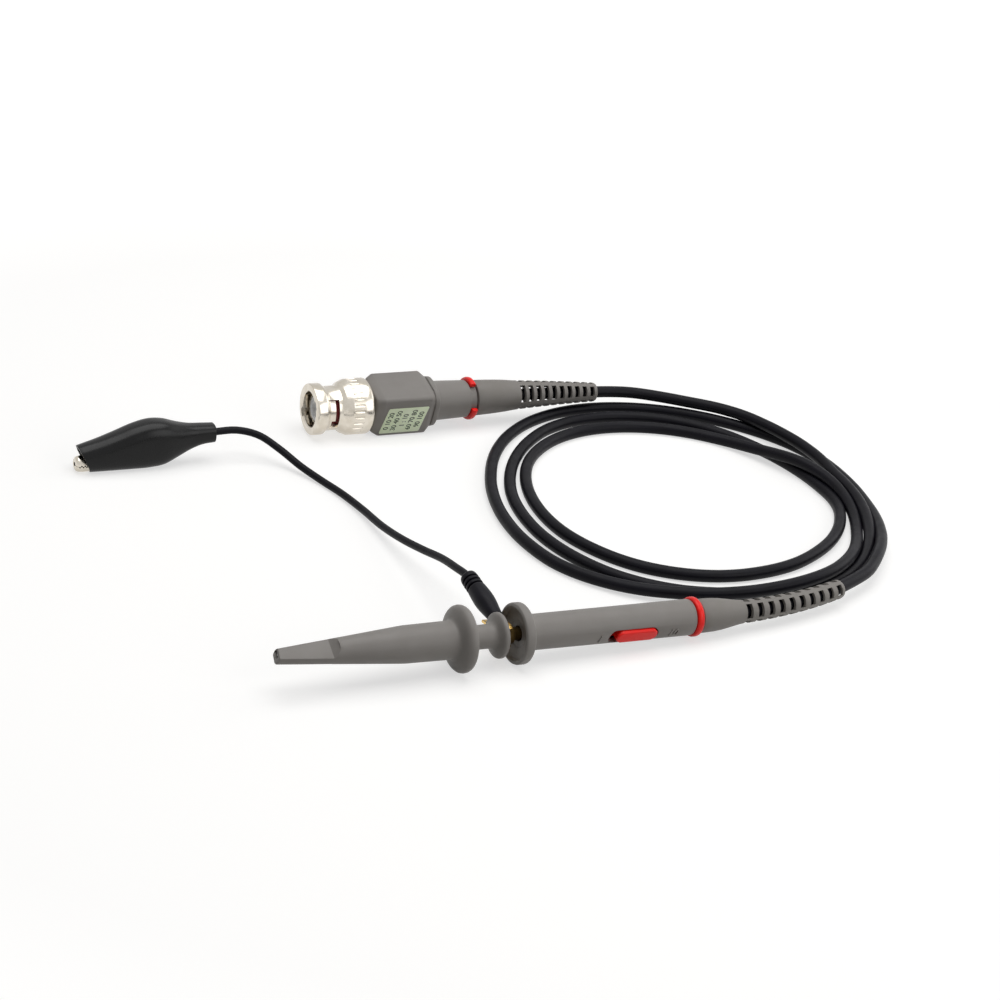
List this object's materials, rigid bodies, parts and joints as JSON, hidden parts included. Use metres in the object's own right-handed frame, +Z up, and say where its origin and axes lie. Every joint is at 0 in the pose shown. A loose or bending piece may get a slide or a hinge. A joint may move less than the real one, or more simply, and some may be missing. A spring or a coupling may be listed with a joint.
{
  "type": "oscilloscope probe",
  "caption": "Passive oscilloscope probe: hook-tip handpiece with slide switch, coiled coaxial cable, compensation box with bayonet plug, and ground lead with crocodile clip",
  "frame": {"origin": "on the table, in the middle of the handpiece's length and width", "axes": "+X along the handpiece from the hook to the cable, +Z up from the table"},
  "size_m": [0.2123, 0.1428, 0.0161],
  "materials": {
    "grey_abs": "fine satin grey moulding",
    "grey_pvc": "soft grey PVC",
    "red_plastic": "bright red, glossy",
    "black_pvc": "black PVC jacket, soft sheen",
    "black_boot": "black PVC dip, glossy",
    "nickel": "bright nickel plate",
    "spring_steel": "drawn wire",
    "brass": "bright",
    "white_ptfe": "white PTFE",
    "gasket_rubber": "dark red",
    "board_green": "solder mask",
    "ceramic": "glazed",
    "label_film": "printed film"
  },
  "bodies": {
    "probe": {"hook_carrier": "grey_abs", "probe_body": "grey_abs", "box_housing": "grey_abs", "hand_strain_relief": "grey_pvc", "box_strain_relief": "grey_pvc", "hand_colour_ring": "red_plastic", "box_colour_ring": "red_plastic", "cable_front": "black_pvc", "cable_coil": "black_pvc", "cable_rear": "black_pvc", "ground_lead": "black_pvc", "lead_boot": "black_pvc", "clip_boot": "black_boot", "bnc_shell": "nickel", "bnc_contact_sleeve": "nickel", "clip_lower_jaw": "nickel", "clip_pivot_pin": "nickel", "clip_crimp": "nickel", "hook_wire": "spring_steel", "hook_spring": "spring_steel", "probe_needle": "spring_steel", "bnc_washer": "spring_steel", "clip_spring": "spring_steel", "ground_barrel": "brass", "ground_contact": "brass", "hand_ferrule": "brass", "box_ferrule": "brass", "bnc_pin": "brass", "tip_insulator": "white_ptfe", "bnc_insulator": "white_ptfe", "trimmer_body": "white_ptfe", "bnc_gasket": "gasket_rubber", "attenuator_board": "board_green", "comp_board": "board_green", "attenuator_resistor": "ceramic", "attenuator_capacitor": "ceramic", "box_label": "label_film"},
    "sleeve": {"hook_sleeve": "grey_abs"},
    "switch": {"switch_slider": "red_plastic", "switch_contact": "brass"},
    "coupling": {"bnc_coupling": "nickel"},
    "trimmer": {"trimmer_screw": "brass"},
    "upper_jaw": {"clip_upper_jaw": "nickel"}
  },
  "joints": [
    {"name": "sleeve_slide", "type": "slide", "parent": "probe", "child": "sleeve", "axis": [0.9992, 0, -0.0401], "range_m": [0, 0.005], "stiffness_N_per_m": 250, "springref_m": -0.008, "deforming": ["hook_spring"]},
    {"name": "switch_slide", "type": "slide", "parent": "probe", "child": "switch", "axis": [-0.9992, 0, 0.0401], "range_m": [0, 0.0019]},
    {"name": "coupling_turn", "type": "hinge", "parent": "probe", "child": "coupling", "pos_m": [0.00705, 0.1273, 0.00782], "axis": [0.9996, -0.0279, 0], "continuous": true},
    {"name": "trimmer_turn", "type": "hinge", "parent": "probe", "child": "trimmer", "pos_m": [0.03304, 0.12657, 0.00782], "axis": [0.027, 0.9682, 0.2487], "continuous": true},
    {"name": "jaw_hinge", "type": "hinge", "parent": "probe", "child": "upper_jaw", "pos_m": [-0.043, 0.118, 0.0062], "axis": [0, 1, 0], "range_deg": [0, 15], "stiffness_Nm_per_rad": 0.15, "springref_deg": -14.32, "deforming": ["clip_spring", "clip_boot"]}
  ]
}
